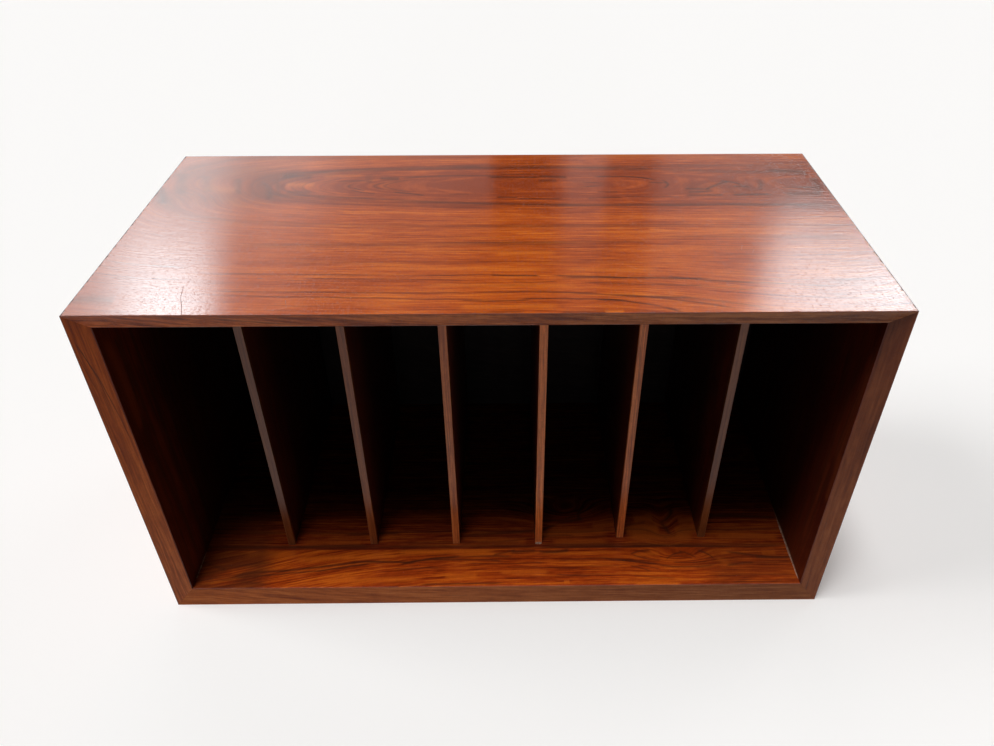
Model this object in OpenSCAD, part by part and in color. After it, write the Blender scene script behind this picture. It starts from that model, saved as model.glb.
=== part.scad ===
// Record storage box: a mitred, veneered carcass, open at the front, with loose upright
// dividers that stand in stopped grooves and a back panel screwed into a rebate.
// Millimetres. X runs along the width, Y from front to back, Z up.
// The origin is the centre of the footprint, on the surface that the box stands on.

/* [Carcass] */
// Overall width
box_w = 700; // [560:1:900]
// Overall height
box_h = 380; // [340:1:460]
// Overall depth
box_d = 325; // [300:1:400]
// Thickness of a finished board, with both veneers
board_t = 17.5; // [16:0.5:24]
// Thickness of each face veneer
veneer_t = 0.8; // [0.6:0.1:1.2]
// Distance from the front arris to the joint between the two leaves of the floor's veneer
leaf_d = 60; // [30:1:66]
// Radius of the eased arrises
ease_r = 0.5; // [0.2:0.1:0.6]

/* [Front lippings] */
// Depth of a lipping, from its front arris to its glue face
lip_d = 20; // [16:1:35]
// How far the bevel sets the inner arris back from the outer one
bevel_d = 9; // [0:0.5:14]
// Thickness of the tongue on the back of a lipping
lip_tongue_t = 4; // [3:0.5:6]
// Length of that tongue
lip_tongue_l = 6; // [4:0.5:10]
// Distance from the end of that tongue to the inner corner of the mitre
lip_tongue_stop = 12; // [8:1:40]

/* [Corner tongues] */
// Thickness of the loose tongue in a mitre
tongue_t = 4; // [3:0.5:5]
// Width of the tongue, half of it in each board
tongue_w = 12; // [8:0.5:12]
// Distance of the tongue from the inner corner, along the mitre
tongue_in = 9.5; // [8:0.5:10]
// Distance from the ends of the tongue to the lipping's tongue and to the back rebate
tongue_inset = 12; // [6:1:60]

/* [Back panel] */
// Thickness of the back panel
back_t = 5.5; // [4:0.5:8]
// How far the back panel lies inside the rear edges
back_recess = 0.5; // [0:0.5:3]
// How far the rebate is cut into the boards
rebate_d = 9; // [8:0.5:10]

/* [Back screws] */
// Radius of a screw's shank
shank_r = 1.5; // [1.2:0.1:1.7]
// Radius of a screw's countersunk head
head_r = 2.9; // [2.6:0.1:3]
// Length of a screw, with its head
screw_l = 16; // [12:1:22]
// Length of the point
point_l = 3; // [2:0.5:4]
// Width of the driving slot
drive_w = 0.8; // [0.6:0.1:1]
// Depth of the driving slot
drive_d = 0.9; // [0.6:0.1:1]
// Distance between the two screws in each side
side_screw_pitch = 170; // [100:1:220]

/* [Dividers] */
// Number of dividers
divider_n = 6; // [1:1:6]
// Thickness of a divider
divider_t = 8; // [6:0.5:10]
// Clear width of the bays between two dividers
bay_w = 86.6; // [60:0.1:87]
// Distance from the box's front arris to a divider that is pushed forward
setback = 68; // [40:1:120]
// How far a divider slides from its front stop to the back panel
slide_play = 7; // [2:0.5:9]
// First of the dividers that stand at the back of their play; the ones before it stand forward
first_pushed_back = 5; // [1:1:7]
// Depth of the strip on a divider's front edge
edge_d = 5; // [3:0.5:8]
// Length of the nose at a divider's front, which hides the end of its groove
nose_l = 12; // [10:1:20]
// Depth of the grooves in the top and the bottom
groove_depth = 5; // [3:0.5:6]

/* [Clearances] */
// Gap at each face of a glued tongue
glue_gap = 0.1; // [0.05:0.05:0.2]
// Gap round the back panel in its rebate
back_gap = 0.5; // [0.2:0.1:0.8]
// Gap round a screw in its holes
screw_gap = 0.05; // [0.02:0.01:0.15]
// Gap at each side of a divider in its grooves
groove_gap = 0.2; // [0.1:0.05:0.5]
// Gap over a divider in its upper groove
top_gap = 0.5; // [0.2:0.1:1]
// Gap between a divider's nose and the floor or ceiling of the box
nose_gap = 0.3; // [0.2:0.1:0.8]
// Gap left at either end of a divider's travel
stop_gap = 0.1; // [0.05:0.05:0.3]

/* [Hidden] */
SIDES = ["top", "bottom", "left", "right"];
LINED = ["top", "left", "right"];   // sides with one leaf of veneer inside; the floor has two
LEVELS = ["bottom", "top"];
ENDS = ["left", "right"];
DIVIDERS = [1:divider_n];

veneer_colour = [0.43, 0.16, 0.07];
solid_colour = [0.38, 0.17, 0.09];
core_colour = [0.62, 0.45, 0.28];
tongue_colour = [0.74, 0.60, 0.42];
back_colour = [0.10, 0.05, 0.04];
screw_colour = [0.72, 0.68, 0.60];

past = 1;          // how far a cut runs past the face it opens
point_share = 0.2; // radius at the very tip of a screw, as a share of its shank's
ease_steps = 4;    // flats on an eased arris, an even number
$fn = 48;

core_in = board_t - veneer_t;                 // depth of the core's inner face in a board
rebate_l = back_t + back_recess;              // length of the rebate along Y
rebate_y = box_d - rebate_l;                  // shoulder of the rebate, from the front arris
back_edge = board_t - rebate_d;               // depth of the rebate's wall in a board
divider_pitch = bay_w + divider_t;
divider_l = rebate_y - stop_gap - slide_play - setback;
groove_y = setback + nose_l - stop_gap;       // where the stopped grooves end, at the front
foot_z = board_t - groove_depth;              // floor of the lower grooves
head_z = box_h - foot_z - top_gap;            // upper edge of a divider
nose_z = board_t + nose_gap;
nose_h = box_h - 2 * nose_z;
head_h = head_r - shank_r;                    // height of a right-angled countersink
tongue_y = lip_d + lip_tongue_l + tongue_inset;
tongue_l = rebate_y - tongue_inset - tongue_y;
screw_in = board_t - rebate_d / 2;            // depth of a screw's axis in a board
arris_half = (90 - atan(bevel_d / board_t)) / 2;
ease_lead = ease_r * (1 / tan(arris_half) - 1);   // what easing takes off the sharp front arris

function unit(v) = v / norm(v);
function heading(v) = atan2(v[1], v[0]);
function wrapped(a) = a > 180 ? a - 360 : a < -180 ? a + 360 : a;

// Arc of radius r that eases the corner at b between the edges towards a and c
function eased(a, b, c, r) =
    let (
        u = unit(a - b),
        v = unit(c - b),
        half = acos(u * v) / 2,
        centre = b + unit(u + v) * r / sin(half),
        from = heading(b + u * r / tan(half) - centre),
        turn = wrapped(heading(b + v * r / tan(half) - centre) - from)
    )
    [for (i = [0:ease_steps])
        centre + r * [cos(from + turn * i / ease_steps), sin(from + turn * i / ease_steps)]];

function side_length(side) = side == "top" || side == "bottom" ? box_w : box_h;
function divider_x(i) = (i - (divider_n + 1) / 2) * divider_pitch;
function divider_y(i) = setback + (i < first_pushed_back ? 0 : slide_play);
function bay_x(b) =
    let (
        wall = box_w / 2 - board_t,
        from = b == 0 ? -wall : divider_x(b) + divider_t / 2,
        to = b == divider_n ? wall : divider_x(b + 1) - divider_t / 2
    )
    (from + to) / 2;

// Places of the back screws, as [x, z]: in every other bay at top and bottom, two in each side
screw_places = concat(
    [for (b = [0:2:divider_n], z = [screw_in, box_h - screw_in]) [bay_x(b), z]],
    [for (x = [-1, 1], k = [-0.5, 0.5])
        [x * (box_w / 2 - screw_in), box_h / 2 + k * side_screw_pitch]]
);

// Turns a board drawn flat, outer face up at Z 0, front arris at Y 0, into its side of the box
module place(side) {
    if (side == "top") translate([0, 0, box_h]) children();
    if (side == "bottom") rotate([0, 180, 0]) children();
    if (side == "left") translate([-box_w / 2, 0, box_h / 2]) rotate([0, -90, 0]) children();
    if (side == "right") translate([box_w / 2, 0, box_h / 2]) rotate([0, 90, 0]) children();
}

// Carries what is measured from the front arris to the box's own origin
module from_front() {
    translate([0, -box_d / 2, 0]) children();
}

// A layer of a board between two depths below its outer face. Its mitred ends take half of
// the eased corner each.
module mitred_layer(side, out, in, y0, y1) {
    a = side_length(side) / 2;
    corner = eased([0, 0], [a, 0], [a, -a], ease_r);
    outer = out > 0 ? [[a - out, -out]] : [for (i = [0:ease_steps / 2]) corner[i]];
    points = concat(
        outer,
        [[a - in, -in], [in - a, -in]],
        [for (i = [len(outer) - 1:-1:0]) [-outer[i][0], outer[i][1]]]
    );
    translate([0, y1, 0]) rotate([90, 0, 0]) linear_extrude(y1 - y0) polygon(points);
}

// Everything behind the bevelled front face of a board, over the board's whole thickness
module behind_bevel(side) {
    l = side_length(side) + 2 * past;
    arris = [-ease_lead, 0];
    inner = [bevel_d - ease_lead, -board_t];
    points = concat(
        eased([box_d, 0], arris, inner, ease_r),
        eased(arris, inner, [box_d, -board_t], ease_r),
        [[box_d + past, -board_t], [box_d + past, 0]]
    );
    translate([-l / 2, 0, 0]) rotate([90, 0, 90]) linear_extrude(l) polygon(points);
}

// The tongue on a lipping's back, or with a gap the groove for it
module lip_tongue(side, gap) {
    l = side_length(side) - 2 * (board_t + lip_tongue_stop) + 2 * gap;
    t = lip_tongue_t + 2 * gap;
    translate([-l / 2, lip_d - gap, -(board_t + t) / 2]) cube([l, lip_tongue_l + 2 * gap, t]);
}

// The loose tongue across a mitre, or with a gap the slot for it
module corner_tongue(level, end, gap) {
    sx = end == "right" ? 1 : -1;
    sz = level == "top" ? 1 : -1;
    away = board_t - tongue_in * sqrt(0.5);
    translate([sx * (box_w / 2 - away), tongue_y + tongue_l / 2, box_h / 2 + sz * (box_h / 2 - away)])
        rotate([0, sx * sz * 45, 0])
        cube([tongue_w + 2 * gap, tongue_l + 2 * gap, tongue_t + 2 * gap], center = true);
}

// The recess in the rear edges that takes the back panel
module rebate() {
    w = box_w - 2 * back_edge;
    translate([-w / 2, rebate_y, back_edge]) cube([w, rebate_l + past, box_h - 2 * back_edge]);
}

// The pair of grooves for one divider, open at the back and stopped at the front
module divider_grooves(i) {
    w = divider_t + 2 * groove_gap;
    translate([divider_x(i) - w / 2, groove_y, foot_z])
        cube([w, box_d - groove_y, box_h - 2 * foot_z]);
}

// Puts what is drawn along Z at each screw, pointing from the back panel's outer face forwards
module at_screws() {
    for (p = screw_places)
        translate([p[0], box_d - back_recess, p[1]]) rotate([90, 0, 0]) children();
}

// One countersunk wood screw, head at Z 0
module screw() {
    difference() {
        union() {
            cylinder(r1 = head_r, r2 = shank_r, h = head_h);
            translate([0, 0, head_h]) cylinder(r = shank_r, h = screw_l - head_h - point_l);
            translate([0, 0, screw_l - point_l])
                cylinder(r1 = shank_r, r2 = shank_r * point_share, h = point_l);
        }
        translate([-head_r, -drive_w / 2, -past]) cube([2 * head_r, drive_w, drive_d + past]);
    }
}

module board(side) {
    color(core_colour) from_front() difference() {
        place(side) difference() {
            mitred_layer(side, veneer_t, core_in, lip_d, box_d);
            lip_tongue(side, glue_gap);
        }
        rebate();
        for (l = LEVELS, e = ENDS) corner_tongue(l, e, glue_gap);
        for (i = DIVIDERS) divider_grooves(i);
        at_screws() cylinder(r = shank_r + screw_gap, h = screw_l + past);
    }
}

module lipping(side) {
    color(solid_colour) from_front() place(side) union() {
        intersection() {
            mitred_layer(side, veneer_t, core_in, 0, lip_d);
            behind_bevel(side);
        }
        lip_tongue(side, 0);
    }
}

module outer_veneer(side) {
    color(veneer_colour) from_front() place(side) intersection() {
        mitred_layer(side, 0, veneer_t, 0, box_d);
        behind_bevel(side);
    }
}

// A leaf of veneer on an inner face, between two distances from the front arris
module inner_leaf(side, y0, y1) {
    color(veneer_colour) from_front() difference() {
        place(side) intersection() {
            mitred_layer(side, core_in, board_t, y0, y1);
            behind_bevel(side);
        }
        rebate();
        for (i = DIVIDERS) divider_grooves(i);
    }
}

module inner_veneer(side) {
    inner_leaf(side, 0, box_d);
}

module floor_front_leaf() {
    inner_leaf("bottom", 0, leaf_d);
}

module floor_rear_leaf() {
    inner_leaf("bottom", leaf_d, box_d);
}

module mitre_tongue(level, end) {
    color(tongue_colour) from_front() corner_tongue(level, end, 0);
}

module back_panel() {
    inset = back_edge + back_gap;
    w = box_w - 2 * inset;
    color(back_colour) from_front() difference() {
        translate([-w / 2, rebate_y, inset]) cube([w, back_t, box_h - 2 * inset]);
        at_screws() {
            cylinder(r1 = head_r + screw_gap, r2 = shank_r + screw_gap, h = head_h);
            cylinder(r = shank_r + screw_gap, h = back_t + past);
        }
    }
}

module back_screws() {
    color(screw_colour) from_front() at_screws() screw();
}

module divider_panel(i) {
    points = [
        [edge_d, nose_z], [nose_l, nose_z], [nose_l, foot_z], [divider_l, foot_z],
        [divider_l, head_z], [nose_l, head_z], [nose_l, nose_z + nose_h], [edge_d, nose_z + nose_h]
    ];
    color(veneer_colour) from_front() translate([divider_x(i) - divider_t / 2, divider_y(i), 0])
        rotate([90, 0, 90]) linear_extrude(divider_t) polygon(points);
}

module divider_edge(i) {
    a = divider_t / 2;
    points = concat(
        [[a, edge_d]],
        eased([a, edge_d], [a, 0], [-a, 0], ease_r),
        eased([a, 0], [-a, 0], [-a, edge_d], ease_r),
        [[-a, edge_d]]
    );
    color(solid_colour) from_front() translate([divider_x(i), divider_y(i), nose_z])
        linear_extrude(nose_h) polygon(points);
}

for (s = SIDES) {
    board(s);
    lipping(s);
    outer_veneer(s);
}
for (s = LINED) inner_veneer(s);
floor_front_leaf();
floor_rear_leaf();
for (l = LEVELS, e = ENDS)
    mitre_tongue(l, e);
back_panel();
back_screws();
for (i = DIVIDERS) {
    divider_panel(i);
    divider_edge(i);
}
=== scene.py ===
import math
import re
from types import SimpleNamespace

import bmesh
import bpy
import numpy as np
from mathutils import Matrix, Vector


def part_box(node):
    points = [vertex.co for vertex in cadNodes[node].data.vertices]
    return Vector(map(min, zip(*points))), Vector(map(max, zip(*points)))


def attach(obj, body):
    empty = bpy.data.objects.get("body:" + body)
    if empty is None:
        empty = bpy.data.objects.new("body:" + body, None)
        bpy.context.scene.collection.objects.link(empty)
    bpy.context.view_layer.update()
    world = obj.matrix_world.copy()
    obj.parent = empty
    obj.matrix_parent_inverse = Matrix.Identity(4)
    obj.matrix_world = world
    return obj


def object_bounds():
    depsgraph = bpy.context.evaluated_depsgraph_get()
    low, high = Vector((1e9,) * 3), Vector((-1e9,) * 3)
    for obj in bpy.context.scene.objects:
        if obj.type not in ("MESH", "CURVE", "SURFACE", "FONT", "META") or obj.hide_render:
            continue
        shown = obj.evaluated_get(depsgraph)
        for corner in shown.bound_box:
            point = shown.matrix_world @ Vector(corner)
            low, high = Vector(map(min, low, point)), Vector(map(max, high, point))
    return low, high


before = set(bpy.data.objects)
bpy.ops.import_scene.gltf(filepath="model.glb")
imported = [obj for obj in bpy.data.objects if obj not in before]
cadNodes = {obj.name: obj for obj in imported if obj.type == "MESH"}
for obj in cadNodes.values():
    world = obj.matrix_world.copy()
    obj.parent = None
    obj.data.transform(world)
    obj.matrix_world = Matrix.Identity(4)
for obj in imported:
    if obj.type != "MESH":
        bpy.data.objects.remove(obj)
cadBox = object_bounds()
print("frame loaded with", len(cadNodes), "nodes")

mm = 0.001


def inMillimetres(box):
    return [[v / mm for v in corner] for corner in box]


boxLow, boxHigh = inMillimetres(cadBox)


def addObject(name, data):
    made = bpy.data.objects.new(name, data)
    bpy.context.scene.collection.objects.link(made)
    return made


def sign(operation, turned=False):
    def join(self, other):
        pair = (other, self) if turned else (self, other)
        return self.net.maths(operation, *pair)
    return join


class Wire:
    # one output of a node; signs between wires make Math nodes
    def __init__(self, net, socket):
        self.net = net
        self.socket = socket

    __add__ = sign("ADD")
    __radd__ = sign("ADD", turned=True)
    __sub__ = sign("SUBTRACT")
    __rsub__ = sign("SUBTRACT", turned=True)
    __mul__ = sign("MULTIPLY")
    __truediv__ = sign("DIVIDE")


def socketName(key):
    # "riseStart" is the socket "Rise Start"
    return re.sub("([A-Z])", r" \1", key).title()


class NodeNet:
    # makes nodes in one tree, links whatever it is given and hands back the output
    def __init__(self, tree):
        self.tree = tree

    def node(self, kind, *values, **settings):
        # a new node with its settings made and its first inputs fed
        made = self.tree.nodes.new(kind)
        for name, value in settings.items():
            setattr(made, name, value)
        for socket, value in zip(made.inputs, values):
            self.feed(socket, value)
        return made

    def feed(self, socket, value):
        if isinstance(value, Wire):
            self.tree.links.new(value.socket, socket)
        elif socket.type == "RGBA":
            socket.default_value = (*value, 1)
        else:
            socket.default_value = value

    def output(self, made, which=0):
        return Wire(self, made.outputs[which])

    def maths(self, operation, *values, clamp=False):
        return self.output(self.node("ShaderNodeMath", *values, operation=operation, use_clamp=clamp))

    def least(self, a, b):
        return self.maths("MINIMUM", a, b)

    def most(self, a, b):
        return self.maths("MAXIMUM", a, b)

    def bell(self, x, width):
        # exp(-(x / width)^2)
        ratio = x / width
        return self.maths("EXPONENT", ratio * ratio * -1)

    def between(self, *values):
        # smooth step of the first value: from 0 at the second to 1 at the third, or, where there are five,
        # from the fourth to the fifth
        values = values if len(values) == 5 else (*values, 0, 1)
        return self.output(self.node("ShaderNodeMapRange", *values, interpolation_type="SMOOTHSTEP"))

    def vector(self, *values):
        return self.output(self.node("ShaderNodeCombineXYZ", *values))

    def parts(self, vector):
        split = self.node("ShaderNodeSeparateXYZ", vector)
        return [self.output(split, axis) for axis in range(3)]

    def waves(self, *axes, detail=2, roughness=0.5):
        # noise drawn out along its axes; each is a coordinate with its wave length, or a plain place in it
        place = [axis[0] / axis[1] if isinstance(axis, tuple) else axis for axis in axes]
        made = self.node("ShaderNodeTexNoise", self.vector(*place))
        made.inputs["Scale"].default_value = 1.0
        made.inputs["Detail"].default_value = detail
        made.inputs["Roughness"].default_value = roughness
        return self.output(made)

    def swing(self, *axes, **settings):
        # the same centred on 0, about one unit either way
        return (self.waves(*axes, **settings) - 0.5) * 7.0

    def ramp(self, value, stops):
        made = self.node("ShaderNodeValToRGB", value)
        elements = made.color_ramp.elements
        while len(elements) < len(stops):
            elements.new(0.5)
        for element, (place, colour) in zip(elements, stops):
            element.position = place
            element.color = (*colour, 1)
        return self.output(made)

    def mix(self, factor, a, b, blend="MIX"):
        made = self.node("ShaderNodeMix", factor, data_type="RGBA", blend_type=blend)
        self.feed(made.inputs[6], a)
        self.feed(made.inputs[7], b)
        return self.output(made, 2)

    def dim(self, colour, share):
        return self.mix(1.0, colour, self.vector(share, share, share), blend="MULTIPLY")

    def screen(self, mask, more):
        return 1.0 - (1.0 - mask) * (1.0 - more)

    def seenRays(self):
        # 1 for what the camera sees itself or through gloss and glass, 0 for light thrown back at the wood
        rays = self.node("ShaderNodeLightPath")
        byCamera = self.output(rays, "Is Camera Ray")
        seen = self.maths("ADD", byCamera, self.output(rays, "Is Glossy Ray"), clamp=True)
        seen = self.maths("ADD", seen, self.output(rays, "Is Transmission Ray"), clamp=True)
        return seen, byCamera

    def group(self, tree, **values):
        # fills the inputs that values has a name for; its one output, or all of them by name
        made = self.node("ShaderNodeGroup", node_tree=tree)
        for key, value in values.items():
            if socketName(key) in made.inputs:
                self.feed(made.inputs[socketName(key)], value)
        if len(made.outputs) == 1:
            return self.output(made)
        return {socket.name: self.output(made, socket.name) for socket in made.outputs}


def shaderGroup(**inputs):
    # makes a function into the node group of its name; it gets the net and the group's inputs
    def make(build):
        tree = bpy.data.node_groups.new(build.__name__, "ShaderNodeTree")
        net = NodeNet(tree)
        for key, value in inputs.items():
            kind = "NodeSocketColor" if isinstance(value, tuple) else "NodeSocketFloat"
            socket = tree.interface.new_socket(name=socketName(key), in_out="INPUT", socket_type=kind)
            socket.default_value = (*value, 1) if isinstance(value, tuple) else value
        entry = net.node("NodeGroupInput")
        results = build(net, SimpleNamespace(**{key: net.output(entry, socketName(key)) for key in inputs}))
        for label, wire in results.items():
            kind = "NodeSocketColor" if wire.socket.type == "RGBA" else "NodeSocketFloat"
            tree.interface.new_socket(name=label, in_out="OUTPUT", socket_type=kind)
        leave = net.node("NodeGroupOutput")
        for label, wire in results.items():
            net.feed(leave.inputs[label], wire)
        return tree
    return make


# node groups shared by the finishes; lengths in them are millimetres
@shaderGroup(along=0, across=0, pith=0, far=40, rise=20, riseStart=0, riseLength=100, wander=5, seed=0)
def ringField(net, i):
    # distance from the tree's heart: sqrt(depth^2 + across^2), where depth falls off along the board, as in a
    # flat-sawn leaf. Its contour lines are the growth rings: pointed arches near the heart, straight far off
    slow = net.waves((i.along, 260), (i.across, 75), i.seed)
    quick = net.waves((i.along, 60), (i.across, 14), i.seed + 7.3)
    sway = (slow - 0.5) * (i.wander * 2)
    shiver = (quick - 0.5) * (i.wander * 0.36)
    sideways = (i.across - i.pith) + (sway + shiver)
    run = net.most((i.along - i.riseStart) / i.riseLength, -1.2)
    depth = i.far + i.rise * net.maths("EXPONENT", run * -1)
    return {"Ring": net.maths("SQRT", depth * depth + sideways * sideways)}


@shaderGroup(ring=0, along=0, across=0, alongCentre=0, acrossCentre=0, halfLength=50, halfWidth=20, lift=10)
def eyeBump(net, i):
    # a bump or hollow in the field, which the rings flow round or close on
    bump = net.bell(i.along - i.alongCentre, i.halfLength) * net.bell(i.across - i.acrossCentre, i.halfWidth)
    return {"Ring": i.ring + bump * i.lift}


@shaderGroup(ring=0, along=0, seed=0)
def inkPatches(net, i):
    # how strongly a dark line shows at each place along its run
    return {"Patches": net.waves((i.along, 55), (i.ring, 12), i.seed, detail=3)}


@shaderGroup(mask=0, ring=0, patches=0.5, at=50, sharp=0.8, soft=3, ink=0.8, breaks=0.5)
def inkLine(net, i):
    # one dark growth line: sharp on its inner side, fading on its outer side, broken up along its run
    offset = i.ring - i.at
    outside = net.maths("GREATER_THAN", offset, 0)
    body = net.bell(offset, i.sharp + outside * (i.soft - i.sharp))
    showing = net.between(i.patches, i.breaks * 0.6 - 0.25, i.breaks * 0.6 + 0.05)
    return {"Mask": net.screen(i.mask, body * showing * i.ink)}


letIn = 0.000001    # millimetres
taper = 0.14    # of a streak's length, at each end


@shaderGroup(
    mask=0, along=0, across=0, startAlong=0, startAcross=0, endAlong=1, endAcross=0, bow=0, halfWidth=1,
    ink=0.7, waver=0, patches=0.5)
def inkStroke(net, i):
    # one streak drawn where the leaf has it: its middle runs from its start to its end, bow high half-way (a
    # parabola), wavers with the grain, and tapers off at both ends. The mask so far is let in by a millionth
    # of a millimetre, so that Cycles works the streaks out one after another and its stack holds them
    share = ((i.along + i.mask * letIn) - i.startAlong) / (i.endAlong - i.startAlong)
    middle = i.startAcross + share * (i.endAcross - i.startAcross)
    arch = share * (1.0 - share) * 4
    middle = middle + arch * i.bow + i.waver
    body = net.bell(i.across - middle, i.halfWidth)
    ends = net.between(share, 0, taper) * net.between(share, 1, 1 - taper)
    showing = net.between(i.patches, 0.22, 0.52, 0.35, 1.0)
    return {"Mask": net.screen(i.mask, body * ends * (showing * i.ink))}


@shaderGroup(along=0, across=0, seed=0)
def streakWaver(net, i):
    # how far drawn streaks stray sideways, in millimetres
    return {"Waver": net.swing((i.along, 42), (i.across, 16), i.seed) * 0.55}


inkBrown = (0.085, 0.02, 0.008)
hazeGrey = (0.62, 0.58, 0.56)


@shaderGroup(
    ring=0, along=0, across=0, mask=0, pale=0, heart=0, contrast=1, bandWidth=11, pencil=0.6, seed=0,
    ink=inkBrown, deep=(0.28, 0.042, 0.006), base=(0.48, 0.083, 0.009), light=(0.66, 0.155, 0.016))
def rosewoodLook(net, i):
    # rosewood seen at the surface: broad colour bands, pigment streaks and threads along the rings, short
    # dashes, clouds, thin pencilled lines, open pores, haze in the lacquer and ray flecks
    def stripes(thickness, length, seed, detail=2):
        return net.swing((i.ring, thickness), (i.along, length), i.seed + seed, detail=detail, roughness=0.6)
    bands = stripes(i.bandWidth, 420, 0)
    streaks = stripes(3.4, 130, 3.1, 3)
    threads = stripes(1.3, 60, 5.7)
    dashes = stripes(1.6, 16, 8.3)
    clouds = net.swing((i.along, 70), (i.across, 30), i.seed + 9.9, detail=3)
    tone = 0.5
    for part, strength in ((bands, 0.11), (streaks, 0.17), (threads, 0.2), (dashes, 0.12), (clouds, 0.09)):
        tone = tone + part * (i.contrast * strength)
    tone = tone - i.heart * 0.42
    wood = net.mix(net.maths("MULTIPLY", tone, 2, clamp=True), i.deep, i.base)
    wood = net.mix(net.maths("MULTIPLY_ADD", tone, 2, -1, clamp=True), wood, i.light)
    wood = net.mix(i.pale, wood, i.light)
    fine = net.between(net.waves((i.ring, 2), (i.along, 130), i.seed + 12.5, roughness=0.7), 0.6, 0.69)
    zones = net.between(net.waves((i.ring, 30), (i.along, 200), i.seed + 17.1, detail=1), 0.42, 0.62)
    wood = net.mix(net.most(fine * zones * i.pencil, i.mask), wood, i.ink)
    pores = net.between(net.waves((i.across, 0.3), (i.along, 3.6), i.seed + 21, detail=1), 0.6, 0.72)
    wood = net.mix(pores * 0.38, wood, i.ink)
    flecks = net.swing((i.along, 2.2), (i.across, 5), i.seed + 27)
    haze = net.between(stripes(0.9, 18, 14.6), 0, 1.6, 0, 0.006)
    wood = net.mix(haze, wood, hazeGrey)
    wood = net.dim(wood, 1.0 + flecks * 0.03)
    return {"Color": wood, "Pores": pores, "Height": (threads + dashes) * 0.3 - pores}


@shaderGroup(x=0, y=0, z=0, xLow=0, xHigh=1, yLow=0, yHigh=1, zLow=0, zHigh=1, reach=1)
def arrisWear(net, i):
    # nearness to the edges of a box: 1 on an edge, 0 beyond the reach; chipped by noise
    def toFace(value, low, high):
        return net.least(value - low, high - value)
    gaps = [toFace(i.x, i.xLow, i.xHigh), toFace(i.y, i.yLow, i.yHigh), toFace(i.z, i.zLow, i.zHigh)]
    second = net.most(net.least(gaps[0], gaps[1]), net.least(net.most(gaps[0], gaps[1]), gaps[2]))
    patches = net.waves((i.x, 9), (i.y, 9), (i.z, 9), detail=4, roughness=0.65)
    reach = i.reach * net.between(patches, 0.38, 0.72, 0.25, 1.6)
    return {"Mask": net.between(second, reach, reach * 0.25)}


@shaderGroup(along=0, across=0)
def scratches(net, i):
    # hairlines in the lacquer from years of wiping: thin, long, in two directions
    def hairs(degrees, seed):
        turn = math.radians(degrees)
        along = i.along * math.cos(turn) + i.across * math.sin(turn)
        across = i.across * math.cos(turn) - i.along * math.sin(turn)
        return net.between(net.waves((along, 60), (across, 0.5), seed, detail=1), 0.69, 0.76)
    return {"Mask": net.most(hairs(84, 31), hairs(11, 37) * 0.7)}


@shaderGroup(x=0, y=0, z=0, amount=0.05)
def dustSpecks(net, i):
    # stray specks of dust, one at most in each cell
    cell = 2.6
    cells = net.node("ShaderNodeTexVoronoi", net.vector(i.x / cell, i.y / cell, i.z / cell), feature="F1")
    cells.inputs["Scale"].default_value = 1
    chosen = net.output(net.node("ShaderNodeSeparateColor", net.output(cells, "Color")))
    few = net.maths("LESS_THAN", chosen, i.amount)
    return {"Mask": net.between(net.output(cells, "Distance"), 0.1, 0.04) * few}


print("node groups made")


# materials
def newMaterial(name):
    made = bpy.data.materials.new(name)
    made.use_nodes = True
    made.node_tree.nodes.clear()
    net = NodeNet(made.node_tree)
    shader = net.node("ShaderNodeBsdfPrincipled")
    output = net.node("ShaderNodeOutputMaterial")
    net.tree.links.new(shader.outputs[0], output.inputs[0])
    return made, net, shader


def millimetres(net):
    # the piece's own coordinates, in millimetres
    own = net.output(net.node("ShaderNodeTexCoord"), "Object")
    scaled = net.node("ShaderNodeVectorMath", own, operation="SCALE")
    scaled.inputs["Scale"].default_value = 1 / mm
    return dict(zip("xyz", net.parts(net.output(scaled))))


def dress(material, *names):
    for name in names:
        cadNodes[name].data.materials.clear()
        cadNodes[name].data.materials.append(material)


# how wear shows on the veneered faces: what it does to the colour, how much it dulls, and how much roughness
# that makes; poreBump is for every coat
surface = {
    "arrisReach": 0.9,    # millimetres
    "dust": 0.03,    # share of the cells with a speck
    "dustShows": 0.35, "rimShows": 0.85, "frontShows": 0.7,
    "scratchDull": 0.6, "grimeDull": 1.4, "crackDull": 3,
    "wearRough": 0.3, "poreBump": 0.5,
    "calm": 0.4,    # of the contrast, at a calm end
}
# a polished lacquer as on the top, the thinner, duller coat of the lippings, one under dust as on the inner
# faces, and that of the dividers' edges
polished = {"roughness": 0.075, "specular": 0.5, "poreRough": 0.12, "poreDepth": 0.00004}
rubbed = {"roughness": 0.24, "specular": 0.17, "poreRough": 0.2, "poreDepth": 0.00006}
dusty = {"roughness": 0.3, "specular": 0.2, "poreRough": 0.2, "poreDepth": 0.00005}
handled = {"roughness": 0.28, "specular": 0.38, "poreRough": 0.2, "poreDepth": 0.00006}


def lacquerOver(net, shader, coat, colour, wood, wear):
    net.feed(shader.inputs["Base Color"], colour)
    rough = coat["roughness"] + wood["Pores"] * coat["poreRough"]
    net.feed(shader.inputs["Roughness"], rough + wear * surface["wearRough"])
    shader.inputs["Specular IOR Level"].default_value = coat["specular"]
    bump = net.node("ShaderNodeBump")
    bump.inputs["Strength"].default_value = surface["poreBump"]
    bump.inputs["Distance"].default_value = coat["poreDepth"]
    net.feed(bump.inputs["Height"], wood["Height"])
    net.feed(shader.inputs["Normal"], net.output(bump))


def wornArris(net, place, low, high, reach):
    return net.group(
        arrisWear, **place, xLow=low[0], xHigh=high[0], yLow=low[1], yHigh=high[1], zLow=low[2],
        zHigh=high[2], reach=reach)


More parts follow.
